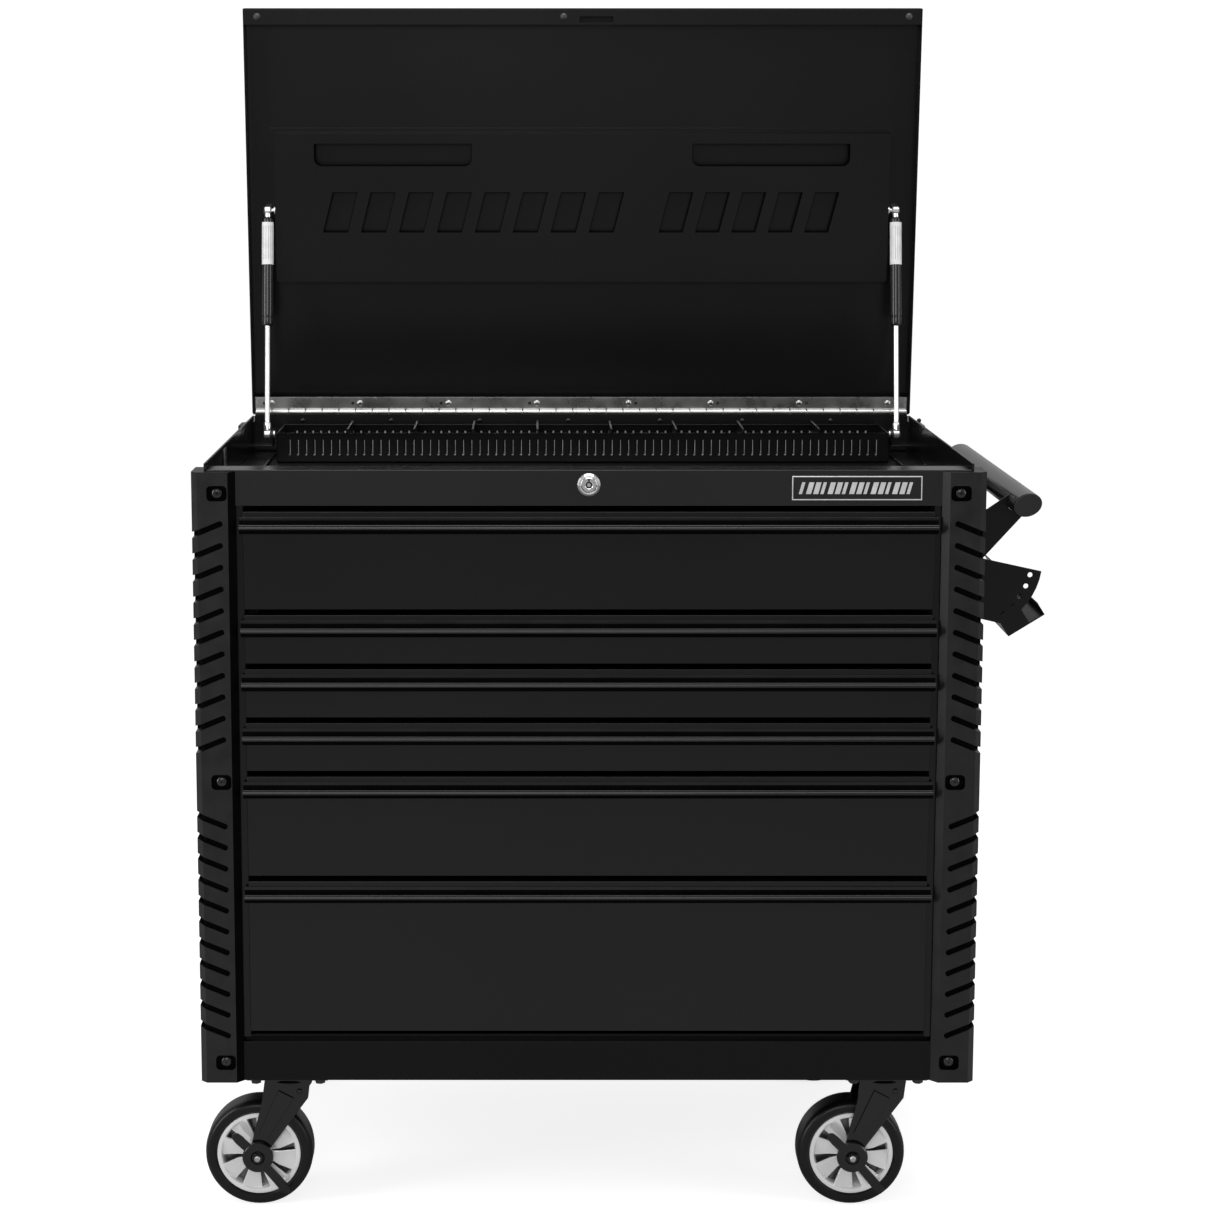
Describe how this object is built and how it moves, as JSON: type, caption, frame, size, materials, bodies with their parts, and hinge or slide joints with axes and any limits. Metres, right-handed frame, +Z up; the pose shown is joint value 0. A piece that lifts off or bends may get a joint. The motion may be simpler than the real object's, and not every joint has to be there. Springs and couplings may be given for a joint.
{
  "type": "rolling tool chest",
  "caption": "Rolling tool chest with stacked drawers, a lidded top compartment on gas struts with a sliding divided tray, side handle, pry-bar rack and swivel casters.",
  "frame": {"origin": "on the floor, at the middle of the chest's footprint", "axes": "+Z up, +X to the right seen from the front, +Y to the back; the drawers open towards -Y"},
  "size_m": [1.1794, 0.6614, 1.6996],
  "materials": {
    "paint": "black semi-gloss powder coat",
    "pull": "glossy black extrusion",
    "plastic": "black, fine texture",
    "tyre": "matt black rubber",
    "hub": "polished, chrome-like",
    "chrome": "bright",
    "badge": "silver frame round a black field",
    "zinc": "zinc plated",
    "gloss": "glossy black",
    "caster_paint": "black, satin"
  },
  "bodies": {
    "case": {"left_side_panel": "paint", "right_side_panel": "paint", "back_panel": "paint", "top_rail": "paint", "base_pan": "paint", "compartment_floor": "paint", "left_slide_rack": "zinc", "right_slide_rack": "zinc", "front_left_bumper": "plastic", "rear_left_bumper": "plastic", "front_right_bumper": "plastic", "rear_right_bumper": "plastic", "hinge_case_leaf": "zinc", "lock_bezel": "chrome", "badge_plate": "badge", "handle_tube": "gloss", "handle_bracket_front": "paint", "handle_bracket_rear": "paint", "rack_bracket_front": "paint", "rack_bracket_rear": "paint", "caster_plate_front_left": "caster_paint", "caster_plate_rear_left": "caster_paint", "caster_plate_front_right": "caster_paint", "caster_plate_rear_right": "caster_paint"},
    "lid": {"lid_shell": "paint", "lid_inner_panel": "paint", "hinge_lid_leaf": "zinc"},
    "drawer_1": {"drawer_1_box": "paint", "drawer_1_pull": "pull"},
    "drawer_2": {"drawer_2_box": "paint", "drawer_2_pull": "pull"},
    "drawer_3": {"drawer_3_box": "paint", "drawer_3_pull": "pull"},
    "drawer_4": {"drawer_4_box": "paint", "drawer_4_pull": "pull"},
    "drawer_5": {"drawer_5_box": "paint", "drawer_5_pull": "pull"},
    "drawer_6": {"drawer_6_box": "paint", "drawer_6_pull": "pull"},
    "tray": {"divider_tray": "paint"},
    "lock": {"lock_cylinder": "chrome"},
    "pry_rack": {"pry_rack": "paint"},
    "left_strut_rod": {"left_strut_rod": "chrome"},
    "left_strut_cylinder": {"left_strut_cylinder": "gloss"},
    "right_strut_rod": {"right_strut_rod": "chrome"},
    "right_strut_cylinder": {"right_strut_cylinder": "gloss"},
    "caster_front_left": {"caster_fork_front_left": "caster_paint"},
    "wheel_front_left": {"caster_hub_front_left": "hub", "caster_tyre_front_left": "tyre"},
    "brake_front_left": {"brake_lever_front_left": "plastic"},
    "caster_front_right": {"caster_fork_front_right": "caster_paint"},
    "wheel_front_right": {"caster_hub_front_right": "hub", "caster_tyre_front_right": "tyre"},
    "brake_front_right": {"brake_lever_front_right": "plastic"},
    "caster_rear_left": {"caster_fork_rear_left": "caster_paint"},
    "wheel_rear_left": {"caster_hub_rear_left": "hub", "caster_tyre_rear_left": "tyre"},
    "caster_rear_right": {"caster_fork_rear_right": "caster_paint"},
    "wheel_rear_right": {"caster_hub_rear_right": "hub", "caster_tyre_rear_right": "tyre"}
  },
  "joints": [
    {"name": "drawer_1_slide", "type": "slide", "parent": "case", "child": "drawer_1", "axis": [0, -1, 0], "range_m": [0, 0.5]},
    {"name": "drawer_2_slide", "type": "slide", "parent": "case", "child": "drawer_2", "axis": [0, -1, 0], "range_m": [0, 0.5]},
    {"name": "drawer_3_slide", "type": "slide", "parent": "case", "child": "drawer_3", "axis": [0, -1, 0], "range_m": [0, 0.5]},
    {"name": "drawer_4_slide", "type": "slide", "parent": "case", "child": "drawer_4", "axis": [0, -1, 0], "range_m": [0, 0.5]},
    {"name": "drawer_5_slide", "type": "slide", "parent": "case", "child": "drawer_5", "axis": [0, -1, 0], "range_m": [0, 0.5]},
    {"name": "drawer_6_slide", "type": "slide", "parent": "case", "child": "drawer_6", "axis": [0, -1, 0], "range_m": [0, 0.5]},
    {"name": "lid_hinge", "type": "hinge", "parent": "case", "child": "lid", "pos_m": [-0.04955, 0.30234, 1.0715], "axis": [-1, 0, 0], "range_deg": [-85, 0], "stiffness_Nm_per_rad": 8, "springref_deg": 17.19},
    {"name": "divider_tray_slide", "type": "slide", "parent": "case", "child": "tray", "axis": [0, -1, 0], "range_m": [0, 0.4]},
    {"name": "lock_turn", "type": "hinge", "parent": "case", "child": "lock", "pos_m": [-0.04955, -0.31736, 1.037], "axis": [0, 1, 0], "range_deg": [0, 90]},
    {"name": "pry_rack_swing", "type": "hinge", "parent": "case", "child": "pry_rack", "pos_m": [0.48545, -0.00736, 0.918], "axis": [0, -1, 0], "range_deg": [-22.8, 22.8]},
    {"name": "strut_left_swing", "type": "hinge", "parent": "case", "child": "left_strut_rod", "pos_m": [-0.53955, 0.23264, 1.044], "axis": [-1, 0, 0], "range_deg": [-92, 2]},
    {"name": "strut_left_travel", "type": "slide", "parent": "left_strut_rod", "child": "left_strut_cylinder", "axis": [0, 0.1543, 0.988], "range_m": [-0.102, 0.002]},
    {"name": "strut_right_swing", "type": "hinge", "parent": "case", "child": "right_strut_rod", "pos_m": [0.44045, 0.23264, 1.044], "axis": [-1, 0, 0], "range_deg": [-92, 2]},
    {"name": "strut_right_travel", "type": "slide", "parent": "right_strut_rod", "child": "right_strut_cylinder", "axis": [0, 0.1543, 0.988], "range_m": [-0.102, 0.002]},
    {"name": "swivel_front_left", "type": "hinge", "parent": "case", "child": "caster_front_left", "pos_m": [-0.46905, -0.25436, 0.1874], "axis": [0, 0, 1], "continuous": true},
    {"name": "wheel_front_left_roll", "type": "hinge", "parent": "caster_front_left", "child": "wheel_front_left", "pos_m": [-0.51355, -0.25436, 0.0762], "axis": [0, 1, 0], "continuous": true},
    {"name": "brake_front_left_press", "type": "hinge", "parent": "caster_front_left", "child": "brake_front_left", "pos_m": [-0.51355, -0.25436, 0.0762], "axis": [0, -1, 0], "range_deg": [0, 20]},
    {"name": "swivel_front_right", "type": "hinge", "parent": "case", "child": "caster_front_right", "pos_m": [0.36995, -0.25436, 0.1874], "axis": [0, 0, 1], "continuous": true},
    {"name": "wheel_front_right_roll", "type": "hinge", "parent": "caster_front_right", "child": "wheel_front_right", "pos_m": [0.32545, -0.25436, 0.0762], "axis": [0, 1, 0], "continuous": true},
    {"name": "brake_front_right_press", "type": "hinge", "parent": "caster_front_right", "child": "brake_front_right", "pos_m": [0.32545, -0.25436, 0.0762], "axis": [0, -1, 0], "range_deg": [0, 20]},
    {"name": "swivel_rear_left", "type": "hinge", "parent": "case", "child": "caster_rear_left", "pos_m": [-0.46905, 0.23464, 0.1874], "axis": [0, 0, 1], "continuous": true},
    {"name": "wheel_rear_left_roll", "type": "hinge", "parent": "caster_rear_left", "child": "wheel_rear_left", "pos_m": [-0.51355, 0.23464, 0.0762], "axis": [0, 1, 0], "continuous": true},
    {"name": "swivel_rear_right", "type": "hinge", "parent": "case", "child": "caster_rear_right", "pos_m": [0.36995, 0.23464, 0.1874], "axis": [0, 0, 1], "continuous": true},
    {"name": "wheel_rear_right_roll", "type": "hinge", "parent": "caster_rear_right", "child": "wheel_rear_right", "pos_m": [0.32545, 0.23464, 0.0762], "axis": [0, 1, 0], "continuous": true}
  ],
  "couplings": [
    {"joint": "strut_left_swing", "follows": "lid_hinge", "ratio": 1.0569},
    {"joint": "strut_left_travel", "follows": "lid_hinge", "m_per_rad": 0.066126},
    {"joint": "strut_right_swing", "follows": "lid_hinge", "ratio": 1.0569},
    {"joint": "strut_right_travel", "follows": "lid_hinge", "m_per_rad": 0.066126}
  ]
}
